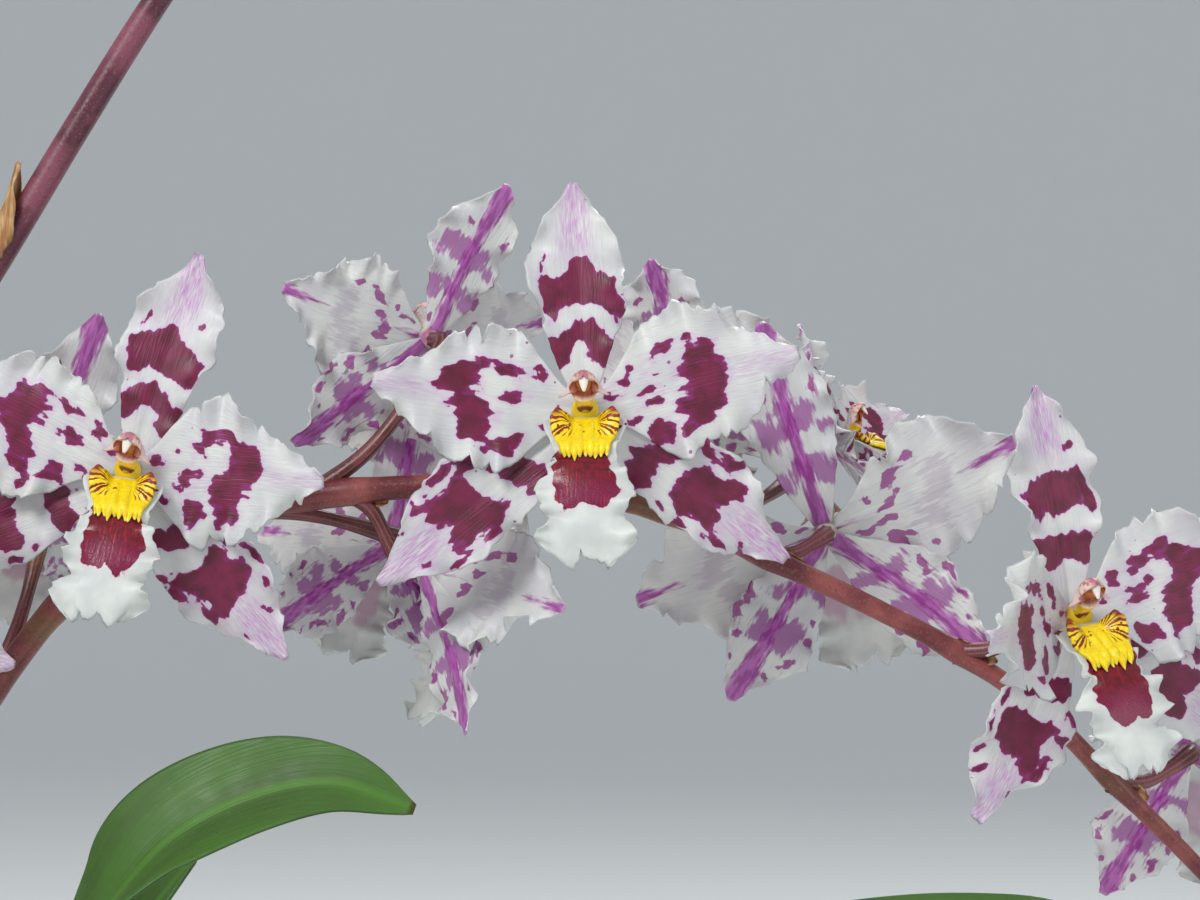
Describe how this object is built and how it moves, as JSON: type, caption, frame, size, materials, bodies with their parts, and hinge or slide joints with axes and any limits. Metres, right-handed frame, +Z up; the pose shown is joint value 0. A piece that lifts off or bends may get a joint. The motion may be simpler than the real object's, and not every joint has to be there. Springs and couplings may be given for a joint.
{
  "type": "potted oncidium orchid",
  "caption": "Oncidium-type orchid in a plain terracotta pot, with pseudobulbs, strap leaves and arching flower spikes of white blooms blotched in maroon.",
  "frame": {"origin": "middle of the pot's underside", "axes": "+Z up, +X the way the flower spikes arch, -Y the side that most blooms in front face"},
  "size_m": [0.4865, 0.2679, 0.5624],
  "materials": {
    "terracotta": "matt fired clay",
    "bark": "rough bark chips",
    "pseudobulb": "smooth, a little waxy",
    "leaf": "satin, parallel veins",
    "spike_stem": "waxy, speckled",
    "dry_bract": "dry and papery",
    "petal": "crystalline white with maroon blotches",
    "crest": "waxy yellow with brown-red stripes"
  },
  "bodies": {
    "root": {"pot": "terracotta", "bark": "bark", "pseudobulb_1": "pseudobulb", "pseudobulb_2": "pseudobulb", "pseudobulb_3": "pseudobulb", "pseudobulb_4": "pseudobulb", "leaf_1": "leaf", "leaf_2": "leaf", "leaf_3": "leaf", "leaf_4": "leaf", "leaf_5": "leaf", "leaf_6": "leaf", "leaf_7": "leaf", "leaf_8": "leaf", "main_spike": "spike_stem", "second_spike": "spike_stem", "dry_bract": "dry_bract", "bloom_01": "petal", "crest_01": "crest", "bloom_02": "petal", "crest_02": "crest", "bloom_03": "petal", "crest_03": "crest", "bloom_04": "petal", "crest_04": "crest", "bloom_05": "petal", "crest_05": "crest", "bloom_06": "petal", "crest_06": "crest", "bloom_07": "petal", "crest_07": "crest", "bloom_08": "petal", "crest_08": "crest", "bloom_09": "petal", "crest_09": "crest", "bloom_10": "petal", "crest_10": "crest", "bloom_11": "petal", "crest_11": "crest", "bloom_12": "petal", "crest_12": "crest", "bloom_13": "petal", "crest_13": "crest", "bloom_14": "petal", "crest_14": "crest"}
  },
  "joints": []
}
